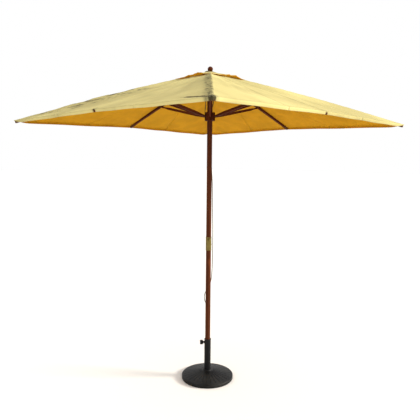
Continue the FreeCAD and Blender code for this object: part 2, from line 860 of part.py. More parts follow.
def vent_cap():
    """Square cap over the vent, held by the finial, low at its four corners."""
    rows = []
    hole = 4.6
    for i in range(49):
        angle = math.radians(7.5 * i)
        nearest = math.radians(90.0 * round(7.5 * i / 90.0))
        away = abs(math.cos(angle - nearest))
        ring = []
        for run in (0.0, 0.3, 0.65, 1.0):
            across = hole + (D.cap_half.value - hole) * run
            height = D.cap_peak.value + D.fabric.value
            height -= (D.cap_peak.value - D.cap_rim.value) * across / D.cap_half.value
            reach = across / away
            ring.append(FreeCAD.Vector(reach * math.cos(angle), reach * math.sin(angle), height))
        rows.append(ring)
    rows[-1] = rows[0]
    drop = FreeCAD.Vector(0, 0, -D.fabric.value)
    faces = []

    def add(*corners):
        faces.append(Part.Face(Part.makePolygon(list(corners) + [corners[0]])))

    for i in range(48):
        one, two = rows[i], rows[i + 1]
        for j in range(3):
            add(one[j], one[j + 1], two[j + 1])
            add(one[j], two[j + 1], two[j])
            add(one[j] + drop, two[j + 1] + drop, one[j + 1] + drop)
            add(one[j] + drop, two[j] + drop, two[j + 1] + drop)
        for j in (0, 3):
            add(one[j], two[j], two[j] + drop)
            add(one[j], two[j] + drop, one[j] + drop)
    solid = Part.Solid(Part.makeShell(faces))
    if solid.Volume < 0:
        solid.reverse()
    feature = DOC.addObject("Part::Feature", "vent_cap")
    feature.Label = "vent_cap"
    feature.Shape = solid
    feature.Placement = FreeCAD.Placement()


# ---------------------------------------------------------------- rope

# Route of the lifting rope, seen square to the pulley: across, away, up.
ROPE_ROUTE = [
    (-35.0, 14.5, 2010.0),
    (-33.0, 10.0, 2044.0),
    (-29.0, 1.5, 2094.0),
    (-28.0, 0.0, 2158.0),
    (28.0, 0.0, 2158.0),
    (28.0, 1.0, 2096.0),
    (23.5, 13.5, 2054.0),
    (9.0, 21.6, 2012.0),
    (8.6, 22.0, 1928.0),
    (10.5, 24.0, 1845.0),
    (9.5, 25.5, 1760.0),
    (12.0, 25.0, 1676.0),
    (17.0, 21.5, 1592.0),
    (22.5, 17.0, 1508.0),
    (25.5, 12.0, 1424.0),
    (27.0, 9.5, 1338.0),
    (28.0, 7.0, 1252.0),
    (30.5, 6.0, 1166.0),
    (31.0, 5.0, 1080.0),
    (31.5, 7.5, 994.0),
    (30.0, 8.0, 908.0),
    (28.5, 10.5, 824.0),
    (22.0, 17.5, 750.0),
    (6.0, 27.0, 705.0),
    (-14.0, 27.0, 672.0),
    (-29.0, 14.0, 640.0),
    (-27.0, 14.0, 598.0),
    (-12.0, 26.0, 566.0),
    (-4.0, 27.5, 538.0),
]


def rope_wire(points):
    """Straight runs joined by tangent arcs that are as large as the runs allow."""
    edges = []
    radii = []
    start = points[0]
    for before, corner, after in zip(points, points[1:], points[2:]):
        back = (before - corner).normalize()
        ahead = (after - corner).normalize()
        half_turn = (math.pi - back.getAngle(ahead)) / 2
        trim = 0.45 * min((corner - before).Length, (after - corner).Length)
        radii.append(trim / math.tan(half_turn))
        first = corner + back * trim
        last = corner + ahead * trim
        inward = (back + ahead).normalize()
        to_centre = math.hypot(trim, radii[-1])
        middle = corner + inward * (to_centre - radii[-1])
        edges.append(Part.LineSegment(start, first).toShape())
        edges.append(Part.Arc(first, middle, last).toShape())
        start = last
    edges.append(Part.LineSegment(start, points[-1]).toShape())
    print("rope arc radii, mm:", ", ".join("%.0f" % radius for radius in radii))
    return Part.Wire(edges)


def rope():
    """Lifting rope over the pulley, from the runner's eye to its stopper knot."""
    turned = FreeCAD.Rotation(UP, 45.0)
    points = [turned.multVec(FreeCAD.Vector(*spot)) for spot in ROPE_ROUTE]
    spine = rope_wire(points)
    section = Part.Circle(points[0], points[1] - points[0], D.rope_r.value).toShape()
    solid = spine.makePipeShell([Part.Wire([section])], True, False)
    whole = math.pi * D.rope_r.value ** 2 * spine.Length
    print("rope length %.1f mm, volume %.4f of section times length"
          % (spine.Length, solid.Volume / whole))
    feature = DOC.addObject("Part::Feature", "lift_rope")
    feature.Label = "lift_rope"
    feature.Shape = solid
    feature.Placement = FreeCAD.Placement()
    knot = DOC.addObject("Part::Sphere", "rope_knot")
    knot.Label = "rope_knot"
    knot.Radius = D.rope_r.value * 2
    end = points[-1]
    knot.Placement = FreeCAD.Placement(end - FreeCAD.Vector(0, 0, 5.0), FreeCAD.Rotation())
    cutter = DOC.addObject("Part::Feature", "rope_copy")
    cutter.Shape = solid
    trimmed = carve("rope_stopper", knot, [cutter])
    trimmed.Label = "rope_stopper"


# ---------------------------------------------------------------- assembly

base_disc()
base_fixings()
base_tube()
clamp_parts()
pole_bush()
lower_pole()
ferrule()
upper_pole()
pulley_wheel()
finial()
crown()
for azimuth, name in CORNER_NAMES.items():
    meeting = rib(name + "_rib", azimuth, D.corner_slope, D.corner_length, D.corner_arch,
                  D.corner_joint)
    strut(name + "_strut", azimuth, meeting, D.runner_corner_pivot)
for azimuth, name in SIDE_NAMES.items():
    meeting = rib(name + "_rib", azimuth, D.side_slope, D.side_length, D.side_arch, D.side_joint)
    strut(name + "_strut", azimuth, meeting, D.runner_side_pivot)
runner()
canopy_panels()
vent_cap()
rope()

PLAIN_NODES = [
    "base_disc", "base_washer", "base_bolt", "tube_plug", "base_tube", "clamp_boss", "clamp_pad",
    "clamp_screw", "clamp_knob", "pole_bush", "lower_pole", "pole_ferrule", "ferrule_screws",
    "upper_pole", "pulley_axle", "pulley_wheel", "finial", "crown_hub", "crown_pins",
    "runner_hub", "runner_eye", "vent_cap", "lift_rope", "rope_stopper",
]
RIB_NODES = [
    "%s_%s" % (name, kind)
    for name in list(CORNER_NAMES.values()) + list(SIDE_NAMES.values())
    for kind in ("rib", "pin", "panel", "strut")
]

DOC.recompute()
for thing in DOC.Objects:
    if "Invalid" in thing.State or "Error" in thing.State:
        raise RuntimeError("%s failed: %s" % (thing.Name, thing.State))
os.makedirs("parts", exist_ok=True)
for node in PLAIN_NODES + RIB_NODES:
    shape = DOC.getObject(node).Shape
    if shape.isNull() or not shape.isValid() or not shape.Solids:
        raise RuntimeError("%s has no valid shape" % node)
    shape.exportStep("parts/%s.step" % node)
    print("%-20s %d solid(s) %10.0f mm3" % (node, len(shape.Solids), shape.Volume))
print(len(PLAIN_NODES + RIB_NODES), "nodes")
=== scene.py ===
"""Looks of a square wooden market parasol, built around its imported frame."""
import math

import bmesh
import bpy
import numpy as np
from mathutils import Matrix, Vector


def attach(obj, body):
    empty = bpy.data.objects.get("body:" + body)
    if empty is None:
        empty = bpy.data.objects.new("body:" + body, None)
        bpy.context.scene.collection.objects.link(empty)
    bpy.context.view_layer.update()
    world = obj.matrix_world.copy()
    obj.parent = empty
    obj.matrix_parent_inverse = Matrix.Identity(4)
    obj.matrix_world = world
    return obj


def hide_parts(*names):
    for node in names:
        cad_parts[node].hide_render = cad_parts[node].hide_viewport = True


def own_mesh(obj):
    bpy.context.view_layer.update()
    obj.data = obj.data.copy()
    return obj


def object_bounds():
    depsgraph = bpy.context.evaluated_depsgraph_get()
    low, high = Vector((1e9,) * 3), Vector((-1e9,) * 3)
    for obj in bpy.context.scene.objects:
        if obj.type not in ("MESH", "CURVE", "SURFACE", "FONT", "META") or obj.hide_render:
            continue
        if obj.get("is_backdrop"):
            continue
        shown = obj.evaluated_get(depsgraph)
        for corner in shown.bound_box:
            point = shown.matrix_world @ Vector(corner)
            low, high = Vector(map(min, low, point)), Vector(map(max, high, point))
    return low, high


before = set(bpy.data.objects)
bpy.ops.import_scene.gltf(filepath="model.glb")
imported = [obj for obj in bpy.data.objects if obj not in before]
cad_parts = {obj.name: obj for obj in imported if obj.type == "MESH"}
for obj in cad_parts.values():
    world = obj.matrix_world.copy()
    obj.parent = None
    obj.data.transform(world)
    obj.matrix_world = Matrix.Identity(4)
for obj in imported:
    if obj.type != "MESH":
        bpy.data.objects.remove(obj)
CAD_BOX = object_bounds()

bl_info = {
    "name": "Market Parasol",
    "version": (1, 0, 0),
    "blender": (4, 5, 0),
    "location": "View3D > Sidebar > Parasol",
    "description": "Canopy, vent cap, rope and finishes of a wooden market parasol",
    "category": "Object",
}

# Headings of the corner and side ribs, in degrees.
CORNERS = {"corner_pp": 45, "corner_np": 135, "corner_nn": 225, "corner_pn": 315}
SIDES = {"side_px": 0, "side_py": 90, "side_nx": 180, "side_ny": 270}
# Half the width of a wedge, as a share of its distance from the pole.
HALF_SHARE = math.tan(math.radians(22.5))

# The frame of the parasol, in metres: crown pins, ribs, canopy outline and vent cap.
CROWN_R = 0.042
CROWN_Z = 2.258
RIB_DEPTH = 0.022
RIB_TIP_DEPTH = 0.014
SIDE_RIB = {"slope": math.radians(19.5), "length": 0.971, "arch": 0.004}
CORNER_RIB = {"slope": math.radians(14.1), "length": 1.404, "arch": 0.016}
CANOPY_HALF = 1.0
CANOPY_SIDE_TIP = 0.959
VENT_HALF = 0.110
CAP_HALF = 0.177
CAP_PEAK = 2.2865
CAP_RIM = 2.2315
CAP_INNER = 0.040
SECTORS = [(name, azimuth, rib)
           for names, rib in ((CORNERS, CORNER_RIB), (SIDES, SIDE_RIB))
           for name, azimuth in names.items()]

# Gaps that keep the cloth clear of the ribs below it.
CLOTH_GAP = 0.0007
CORNER_RIB_GAP = 0.0021

# Rectangles that hold each kind of wedge laid flat, in metres. The peak is a disc within its own.
CORNER_FLAT = (0.86, 1.38)
SIDE_FLAT = (0.82, 0.94)
CAP_CORNER_FLAT = (0.16, 0.26)
CAP_SIDE_FLAT = (0.15, 0.16)

# Strength of the glow painted as emission on the cloth's lower face, standing in for light that the cloth
# passes on.
CANOPY_PAINTED_GLOW = 0.05
CAP_PAINTED_GLOW = 0.34

WELD = 1e-6


# ---- what a user may change


def colour(name, words, default):
    return bpy.props.FloatVectorProperty(
        name=name, description=words, default=default, subtype="COLOR", size=3, min=0.0, max=1.0)


def length(name, words, default):
    return bpy.props.FloatProperty(
        name=name, description=words, default=default, unit="LENGTH", min=0.0, precision=4)


class ParasolCloth(bpy.types.PropertyGroup):
    """Sizes and colours of the canopy cloth."""

    thickness: length("Thickness", "Thickness of one layer of cloth", 0.0011)
    sag: length("Sag", "Sag of the cloth between two ribs", 0.010)
    hem: length("Hem", "Width of the folded hem", 0.028)
    lip: length("Lip", "Height of the hem's edge, turned down over the rib tips", 0.015)
    seam: length("Seam", "Half the width of the felled seam over a rib", 0.009)
    billow: length("Cap billow", "Rise of the vent cap's edges between its corners", 0.024)
    outside: colour("Outside", "Upper face of the cloth", (0.55, 0.475, 0.200))
    # Painted light: the lower face's golden colour is the glow of sunlight coming through the cloth,
    # painted into its colour.
    inside: colour("Inside", "Lower face of the cloth, warmed by light coming through",
                   (0.62, 0.320, 0.012))
    # The stain colour is olive mildew beside the seams; darkened, it is also the painted shade of the
    # creases and wrinkles.
    stain_and_shade_colour: colour("Mildew", "Olive streaks beside the seams", (0.150, 0.132, 0.065))
    glow: colour("Glow", "Light that passes through the cloth", (0.95, 0.48, 0.025))
    pocket: colour("Pocket", "Cloth pockets on the rib tips", (0.050, 0.020, 0.008))


class ParasolTimber(bpy.types.PropertyGroup):
    """Colours of the stained wood."""

    pole_dark: colour("Pole, dark", "Dark grain of the pole", (0.050, 0.013, 0.005))
    pole_light: colour("Pole, light", "Light grain of the pole", (0.135, 0.036, 0.011))
    rib_dark: colour("Ribs, dark", "Dark grain of the ribs", (0.036, 0.007, 0.002))
    rib_light: colour("Ribs, light", "Light grain of the ribs", (0.135, 0.030, 0.006))


class ParasolFittings(bpy.types.PropertyGroup):
    """Sizes and colours of the rope, metal and base."""

    rope_diameter: length("Rope diameter", "Diameter of the three-strand rope", 0.006)
    rope_lay: length("Rope lay", "Length of one turn of a strand", 0.024)
    rope: colour("Rope", "Weathered rope", (0.115, 0.080, 0.030))
    brass: colour("Brass", "Aged brass of the ferrule", (0.185, 0.138, 0.042))
    black: colour("Black", "Paint of the base and tube", (0.004, 0.004, 0.0042))


# ---- finishes


class Term:
    """One output of a node, with the arithmetic of Math nodes."""

    def __init__(self, finish, socket):
        self.finish = finish
        self.socket = socket

    def math(self, operation, *values):
        return self.finish.node("ShaderNodeMath", {"operation": operation}, dict(enumerate(values)))

    def __add__(self, other):
        return self.math("ADD", self, other)

    def __sub__(self, other):
        return self.math("SUBTRACT", self, other)

    def __rsub__(self, other):
        return self.math("SUBTRACT", other, self)

    def __mul__(self, other):
        return self.math("MULTIPLY", self, other)

    __radd__ = __add__
    __rmul__ = __mul__

    def wave(self):
        return self.math("SINE", self)

    def between(self, low, high):
        """0 below low, 1 above high, smooth between."""
        return self.finish.node("ShaderNodeMapRange", {"interpolation_type": "SMOOTHSTEP"},
                                {"Value": self, "From Min": low, "From Max": high})


class Finish:
    """A material and the one method that adds its nodes."""

    def __init__(self, name):
        self.material = bpy.data.materials.new(name)
        self.material.use_nodes = True
        self.tree = self.material.node_tree
        self.tree.nodes.clear()

    def node(self, kind, settings=None, inputs=None, output=0):
        made = self.tree.nodes.new(kind)
        for name, value in (settings or {}).items():
            if name == "stops":
                for number, (place, shade) in enumerate(value):
                    if number < 2:
                        stop = made.color_ramp.elements[number]
                        stop.position = place
                    else:
                        stop = made.color_ramp.elements.new(place)
                    stop.color = (*shade, 1.0)
            else:
                setattr(made, name, value)
        for key, value in (inputs or {}).items():
            if isinstance(value, Term):
                self.tree.links.new(value.socket, made.inputs[key])
            else:
                made.inputs[key].default_value = value
        return Term(self, made.outputs[output]) if made.outputs else None

    def place(self, scale=(1, 1, 1), turn=(0, 0, 0), uv=False):
        """Object or UV coordinates, turned back by turn and divided by scale."""
        source = self.node("ShaderNodeTexCoord", output="UV" if uv else "Object")
        return self.node("ShaderNodeMapping", {"vector_type": "TEXTURE"},
                         {"Vector": source, "Rotation": turn, "Scale": scale})

    def noise(self, where, scale, detail=4.0, rough=0.55, distortion=0.0):
        return self.node("ShaderNodeTexNoise", None, {
            "Vector": where, "Scale": scale, "Detail": detail, "Roughness": rough,
            "Distortion": distortion})

    def blend(self, share, first, second):
        def four(shade):
            return shade if isinstance(shade, Term) else (*shade, 1.0)
        return self.node("ShaderNodeMix", {"data_type": "RGBA"},
                         {0: share, 6: four(first), 7: four(second)}, output=2)

    def bump(self, height, strength, distance):
        return self.node("ShaderNodeBump", None,
                         {"Height": height, "Strength": strength, "Distance": distance})

    def principled(self, **sockets):
        named = {key.replace("_", " ").title().replace("Ior", "IOR"): value
                 for key, value in sockets.items()}
        for key, value in named.items():
            if isinstance(value, tuple) and len(value) == 3:
                named[key] = (*value, 1.0)
        return self.node("ShaderNodeBsdfPrincipled", None, named)

    def done(self, surface):
        self.node("ShaderNodeOutputMaterial", None, {"Surface": surface})
        return self.material


def cloth_finish(name, cloth, painted_glow):
    """Plain-woven cloth, cream outside and golden inside, with olive streaks by the seams. The golden
    inside and its faint emission are painted light coming through the cloth; the streaks are partly
    mildew stains and partly painted shade in creases and wrinkles.
    """
    f = Finish(name)
    inner, ridge, pucker, hem = (
        f.node("ShaderNodeAttribute", {"attribute_name": attribute}, output="Fac")
        for attribute in ("inside", "ridge", "pucker", "hem"))
    where = f.place()
    broad = f.noise(where, 2.2, 3.0)
    patch = f.noise(where, 9.0, 6.0, 0.62)
    speck = f.noise(where, 60.0, 4.0, 0.6)
    thread_uv = f.place(scale=(0.0011, 0.0011, 1.0), uv=True)
    warp = f.node("ShaderNodeSeparateXYZ", None, {0: thread_uv}, output="X")
    weft = f.node("ShaderNodeSeparateXYZ", None, {0: thread_uv}, output="Y")
    weave = (warp * math.pi).wave() * (weft * math.pi).wave()
    streaks = f.noise(f.place(scale=(0.050, 0.105, 1.0), uv=True), 1.0, 6.0, 0.65)
    folds = f.noise(f.place(scale=(0.024, 0.060, 1.0), uv=True), 1.0, 5.0, 0.6)
    # Olive streaks beside the ribs: along the left ridge they are painted shade of its long wrinkles; the
    # puckers by the seams are partly stain and partly painted shade; towards the hem the cloth is darker
    # in patches.
    stain_and_shade = ridge.between(0.06, 0.60) * streaks.between(0.49, 0.60) * 0.95
    stain_and_shade = stain_and_shade + pucker.between(0.15, 0.8) * (folds.between(0.44, 0.64) * 0.75 + 0.30)
    # Painted shade: the deep crease above the hem left of the near corner is darkened nearly to black;
    # the same mask also darkens the near corner's tip and the side_ny rib tip.
    dark = pucker.between(0.95, 1.30)
    stain_and_shade = stain_and_shade + hem.between(0.45, 1.0) * patch.between(0.5, 0.72) * 0.15
    stain_and_shade = stain_and_shade + patch.between(0.62, 0.80) * 0.08
    bright = [min(1.0, c * 1.10) for c in cloth.outside]
    dull = [c * 0.84 for c in cloth.outside]
    outside = f.blend(broad.between(0.35, 0.68), dull, bright)
    outside = f.blend(stain_and_shade * (0.7 + speck * 0.5), outside, tuple(cloth.stain_and_shade_colour))
    outside = f.blend(dark * 0.95, outside, [c * 0.24 for c in cloth.stain_and_shade_colour])
    # Painted light: the golden inside colour stands in for light coming through the cloth; it varies in
    # random patches and is dulled by the same stains and painted shade.
    deep = [c * 0.80 for c in cloth.inside]
    inside = f.blend(patch.between(0.35, 0.7), deep, tuple(cloth.inside))
    inside = f.blend(stain_and_shade * 0.55, inside, [c * 0.45 for c in cloth.stain_and_shade_colour])
    base = f.blend(inner, outside, inside)
    relief = weave * 0.25 + speck * 0.35 + patch * 0.9
    normal = f.bump(relief, 0.35, 0.0012)
    # Painted light: the lower face glows with emission of the glow colour, standing in for light coming
    # through the cloth.
    skin = f.principled(base_color=base, roughness=0.86 + 0.08 * speck, normal=normal,
                        specular_ior_level=0.08, emission_strength=1.0,
                        emission_color=f.blend(inner, (0.0, 0.0, 0.0), [c * painted_glow for c in cloth.glow]))
    through = f.node("ShaderNodeBsdfTranslucent", None, {"Color": (*cloth.glow, 1.0), "Normal": normal})
    share = 0.04 + inner * 0.25
    return f.done(f.node("ShaderNodeMixShader", None, {0: share, 1: skin, 2: through}))


def pocket_finish(cloth):
    f = Finish("pocket_cloth")
    where = f.place()
    patch = f.noise(where, 90.0, 5.0)
    base = f.blend(patch, tuple(cloth.pocket), [c * 2.6 for c in cloth.pocket])
    fine = f.noise(where, 900.0, 2.0)
    return f.done(f.principled(base_color=base, roughness=0.72 + 0.2 * patch, specular_ior_level=0.05,
                               normal=f.bump(fine, 0.4, 0.0006)))


def thread_finish(cloth):
    f = Finish("hem_thread")
    twist = f.noise(f.place(), 1500.0, 2.0)
    base = f.blend(twist, [c * 0.75 for c in cloth.outside], [c * 1.05 for c in cloth.outside])
    return f.done(f.principled(base_color=base, roughness=0.7, normal=f.bump(twist, 0.3, 0.0002)))


def wood_finish(name, dark, light, turn):
    """Stained hardwood with its grain along the local X of turn, worn lighter in patches."""
    f = Finish(name)
    rings = f.noise(f.place(scale=(0.55, 0.018, 0.018), turn=turn), 1.0, 5.0, 0.6, 0.6)
    pores = f.noise(f.place(scale=(0.030, 0.0011, 0.0011), turn=turn), 1.0, 3.0, 0.7)
    worn = f.noise(f.place(scale=(0.16, 0.05, 0.05), turn=turn), 1.0, 5.0, 0.6)
    middle = tuple(0.45 * (a + b) for a, b in zip(dark, light))
    figure = f.node("ShaderNodeValToRGB", {"stops": [
        (0.30, tuple(dark)), (0.72, tuple(light)), (0.52, middle)]}, {0: rings})
    base = f.blend(pores.between(0.50, 0.66) * 0.65, figure, [c * 0.35 for c in dark])
    base = f.blend(worn.between(0.58, 0.76) * 0.45, base, [min(1.0, c * 1.4) for c in light])
    relief = pores * 0.7 + rings * 0.3
    return f.done(f.principled(
        base_color=base, roughness=0.50 + 0.22 * pores + 0.12 * worn, specular_ior_level=0.06,
        normal=f.bump(relief, 0.35, 0.0005)))


def metal_finish(name, shade, rough, grime):
    """Metal with tarnish in patches and fine scratches."""
    f = Finish(name)
    where = f.place()
    tarnish = f.noise(where, 42.0, 6.0, 0.62)
    scratch = f.noise(f.place(scale=(0.0008, 0.0008, 0.02)), 1.0, 3.0)
    base = f.blend(tarnish.between(0.4, 0.72) * grime, tuple(shade), [c * 0.30 for c in shade])
    return f.done(f.principled(
        base_color=base, metallic=1.0, roughness=rough + 0.25 * tarnish * grime + 0.08 * scratch,
        normal=f.bump(scratch * 0.4 + tarnish * 0.6, 0.12, 0.0004)))


def painted_finish(name, shade, grain, dust):
    """Black paint on cast or drawn metal, with a little dust."""
    f = Finish(name)
    where = f.place()
    cast = f.noise(where, grain, 5.0, 0.6)
    film = f.noise(where, 7.0, 5.0, 0.6)
    base = f.blend(film.between(0.42, 0.74) * dust, tuple(shade), (0.030, 0.029, 0.026))
    return f.done(f.principled(
        base_color=base, roughness=0.30 + 0.20 * film + 0.10 * cast, specular_ior_level=0.13,
        normal=f.bump(cast, 0.28, 0.0007), coat_weight=0.03, coat_roughness=0.3))


def plastic_finish(name, shade):
    f = Finish(name)
    where = f.place()
    grain = f.noise(where, 1400.0, 2.0)
    scuff = f.noise(where, 60.0, 5.0)
    base = f.blend(scuff.between(0.5, 0.8) * 0.5, tuple(shade), [c * 2.5 for c in shade])
    return f.done(f.principled(base_color=base, roughness=0.45 + 0.15 * scuff,
                               specular_ior_level=0.2, normal=f.bump(grain, 0.25, 0.0003)))


def rope_finish(fittings):
    f = Finish("rope_fibre")
    fibre = f.noise(f.place(scale=(0.0006, 0.012, 1.0), uv=True), 1.0, 3.0, 0.7)
    darkening = f.noise(f.place(), 25.0, 4.0)
    shade = tuple(fittings.rope)
    base = f.blend(fibre, [c * 0.55 for c in shade], [min(1.0, c * 1.25) for c in shade])
    base = f.blend(darkening.between(0.5, 0.75) * 0.5, base, [c * 0.4 for c in shade])
    return f.done(f.principled(base_color=base, roughness=0.85, normal=f.bump(fibre, 0.6, 0.0004)))


# ---- shared shapes


def shown(name, mesh, finish):
    """Puts a finished mesh in the scene."""
    piece = bpy.data.objects.new(name, mesh)
    bpy.context.scene.collection.objects.link(piece)
    mesh.materials.clear()
    mesh.materials.append(finish)
    return piece


def mesh_of(name, points, faces):
    mesh = bpy.data.meshes.new(name)
    mesh.from_pydata([tuple(p) for p in points], [], faces)
    mesh.validate()
    mesh.polygons.foreach_set("use_smooth", [True] * len(mesh.polygons))
    mesh.update()
    return mesh


def outward(mesh, weld=True):
    """Merges doubled points, unless told not to, and turns every face outwards."""
    work = bmesh.new()
    work.from_mesh(mesh)
    if weld:
        bmesh.ops.remove_doubles(work, verts=work.verts, dist=WELD)
    bmesh.ops.recalc_face_normals(work, faces=work.faces)
    work.to_mesh(mesh)
    work.free()
    return mesh


def rod_faces(rings, sides, start=0):
    """Quads between rings of points that follow one another, then both ends."""
    faces = []
    for i in range(rings - 1):
        for k in range(sides):
            a = start + i * sides + k
            b = start + i * sides + (k + 1) % sides
            faces.append((a, b, b + sides, a + sides))
    faces.append(tuple(start + k for k in reversed(range(sides))))
    faces.append(tuple(start + (rings - 1) * sides + k for k in range(sides)))
    return faces


def flat_map(mesh, name, spots):
    """Writes a UV for every point of a mesh."""
    layer = mesh.uv_layers.new(name=name)
    for loop in mesh.loops:
        layer.data[loop.index].uv = spots[loop.vertex_index]


def at_corner(azimuth):
    return azimuth % 90 != 0


def radial(azimuth):
    angle = math.radians(azimuth)
    return Vector((math.cos(angle), math.sin(angle), 0.0))


def lateral(azimuth):
    return radial(azimuth + 90.0)


# ---- canopy surface


def rib_top(distance, rib):
    """Height of a rib's upper edge at a distance from the pole's axis."""
    slope = rib["slope"]
    along = (distance - CROWN_R) / math.cos(slope)
    share = min(max(along / rib["length"], 0.0), 1.0)
    rise = rib["arch"] * 4 * share * (1 - share)
    taper = (RIB_DEPTH - RIB_TIP_DEPTH) / 2 * along / rib["length"]
    above = RIB_DEPTH / 2 - taper + rise
    return CROWN_Z - (distance - CROWN_R) * math.tan(slope) + above / math.cos(slope)


def hem_across(share):
    return CANOPY_SIDE_TIP + (CANOPY_HALF - CANOPY_SIDE_TIP) * share


def smooth(low, high, value):
    share = min(max((value - low) / (high - low), 0.0), 1.0)
    return share * share * (3 - 2 * share)


def bell(value, reach):
    """1 where value is 0, fading out beyond reach."""
    return math.exp(-(value / reach) ** 2)


def streaks_and_puckers_at(name, fraction, off, run):
    """Long creases beside the left ridge and short puckers beside the near seam, each 0 to 1. Besides
    shaping the creases, they tint the cloth: olive stains, and painted shade in the creases.
    """
    streak = 0.14 * bell(off, 0.02)
    pucker = 0.22 * bell(off, 0.014)
    # Long wrinkles along the left ridge; their darker colour is painted shade.
    if name == "corner_nn":
        window = smooth(0.22, 0.42, run) * (1 - smooth(0.80, 0.97, run))
        reach = 0.22 if fraction > 0 else 0.03
        streak = max(streak, window * bell(off, reach))
    if name == "corner_pn":
        reach = 0.042 if fraction < 0 else 0.010
        pucker = max(pucker, bell(off, reach))
        if fraction < 0:
            # Crease above the hem left of the near corner; its dark colour is painted shade.
            crease = bell(run - 0.985 + 0.36 * off, 0.024 - 0.08 * min(off, 0.2))
            pucker = max(pucker, 1.7 * crease * (1 - smooth(0.08, 0.19, off)))
        pucker = max(pucker, 1.35 * smooth(0.93, 0.97, run) * (1 - smooth(0.018, 0.034, off)))
    # Darker cloth at the side rib tips, stronger on side_ny.
    if name in ("side_ny", "side_px"):
        darkening = 1.4 if name == "side_ny" else 0.7
        pucker = max(pucker, darkening * smooth(0.95, 1.0, run) * bell(off, 0.016))
    return streak, pucker


def canopy_height(across, share, cloth, heading):
    """Height of the cloth's lower face, 0 on a side rib to 1 on a corner rib."""
    side = rib_top(across, SIDE_RIB)
    corner = rib_top(across * math.sqrt(2), CORNER_RIB) + CORNER_RIB_GAP
    run = min(across / hem_across(share), 1.0)
    hang = math.sin(math.pi * share)
    sag = cloth.sag * hang * (0.08 + 0.92 * math.sin(math.pi * run ** 1.3))
    inner = math.sin(math.pi * run)
    pull = 0.0016 * hang * inner * math.sin(9 * share * math.pi + 2.0 * math.sin(heading * 3.0))
    ripple = 0.0011 * hang * inner * math.sin(26 * share + 19 * run + heading * 1.7)
    flutter = 0.0012 * hang * run ** 6 * math.sin(15 * share + 4 * math.sin(heading))
    return side + (corner - side) * share + CLOTH_GAP - sag + pull + ripple + flutter


def creases(name, fraction, off, run):
    """Depth of the creases at a point beside a rib."""
    streak, pucker = streaks_and_puckers_at(name, fraction, off, run)
    long_fold = math.sin(off * 80 + 7 * run + 1.5 * math.sin(run * 21))
    short_fold = math.sin(run * 96 + 9 * off) + 0.7 * math.sin(run * 151 + 40 * off + 1)
    return 0.0034 * streak * long_fold + 0.0022 * min(pucker, 1.0) * short_fold * (1 - run ** 8)


def wedge_point(rib_azimuth, fraction, across_share, height):
    """Point of a wedge beside a rib: fraction -1 to 1 across it, across_share its distance out."""
    corner = at_corner(rib_azimuth)
    share = 1.0 - abs(fraction) * (1 - HALF_SHARE) if corner else abs(fraction) * HALF_SHARE
    across = across_share(share)
    side_azimuth = rib_azimuth
    way = 1.0 if fraction >= 0 else -1.0
    if corner:
        side_azimuth = rib_azimuth + 45 * way
        way = -way
    x_way = radial(side_azimuth)
    y_way = lateral(side_azimuth)
    spot = x_way * across + y_way * (across * share * way)
    spot.z = height(across, share, math.atan2(spot.y, spot.x))
    return spot


def wedge_columns(half_width, stops, steps):
    """Fractions across a wedge: even steps and the stated distances from the rib, in metres."""
    fixed = [s / half_width for s in stops if s < half_width * 0.9]
    last = fixed[-1] if fixed else 0.0
    rest = [last + (1.0 - last) * (i + 1) / steps for i in range(steps)]
    right = fixed + rest
    return [-v for v in reversed(right)] + [0.0] + right


def cloth_wedge(name, rib_azimuth, rows, columns, spot, extra, streaks_and_puckers, finish):
    """Closed thin sheet: rows of spots below, the same moved by the vector extra above."""
    low = []
    high = []
    worn = []
    for row in rows:
        for fraction in columns(row):
            base = spot(row, fraction)
            low.append(base)
            high.append(base + extra(row, fraction))
            # Streak and pucker values of the point, kept as attributes that tint the cloth with stains
            # and painted shade.
            worn.append(streaks_and_puckers(row, fraction))
    count = len(rows)
    wide = len(columns(rows[0]))
    size = count * wide
    points = low + high
    faces = []
    for i in range(count - 1):
        for j in range(wide - 1):
            a, b = i * wide + j, i * wide + j + 1
            c, d = a + wide, b + wide
            faces.append((a, b, d, c))
            faces.append((size + a, size + c, size + d, size + b))
    edge = [(i * wide, (i + 1) * wide) for i in range(count - 1)]
    edge += [((i + 1) * wide + wide - 1, i * wide + wide - 1) for i in range(count - 1)]
    edge += [(j + 1, j) for j in range(wide - 1)]
    edge += [((count - 1) * wide + j, (count - 1) * wide + j + 1) for j in range(wide - 1)]
    for a, b in edge:
        faces.append((a, b, size + b, size + a))
    mesh = mesh_of(name, points, faces)
    outward(mesh, weld=False)
    for polygon in mesh.polygons[-len(edge):]:
        polygon.use_smooth = False
    out = radial(rib_azimuth)
    side = lateral(rib_azimuth)
    widest = max(p.dot(out) for p in points)
    floats(mesh, "inside", [1.0] * size + [0.0] * size)
    floats(mesh, "ridge", [w[0] for w in worn] * 2)
    floats(mesh, "pucker", [w[1] for w in worn] * 2)
    floats(mesh, "hem", [max(0.0, 1.0 - (widest - p.dot(out)) / 0.14) for p in points])
    flat_map(mesh, "cloth", [(p.dot(side), p.dot(out) - p.z) for p in points])
    return shown(name, mesh, finish)


def floats(mesh, name, values):
    mesh.attributes.new(name, "FLOAT", "POINT").data.foreach_set("value", values)


def fold_away(piece, name, azimuth):
    """Makes a soft piece ride on a rib, with a mesh of its own."""
    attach(piece, name + "_rib")
    pin = radial(azimuth) * CROWN_R
    name + "_fold"
    tuple(lateral(azimuth))
    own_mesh(piece)


# ---- stitches


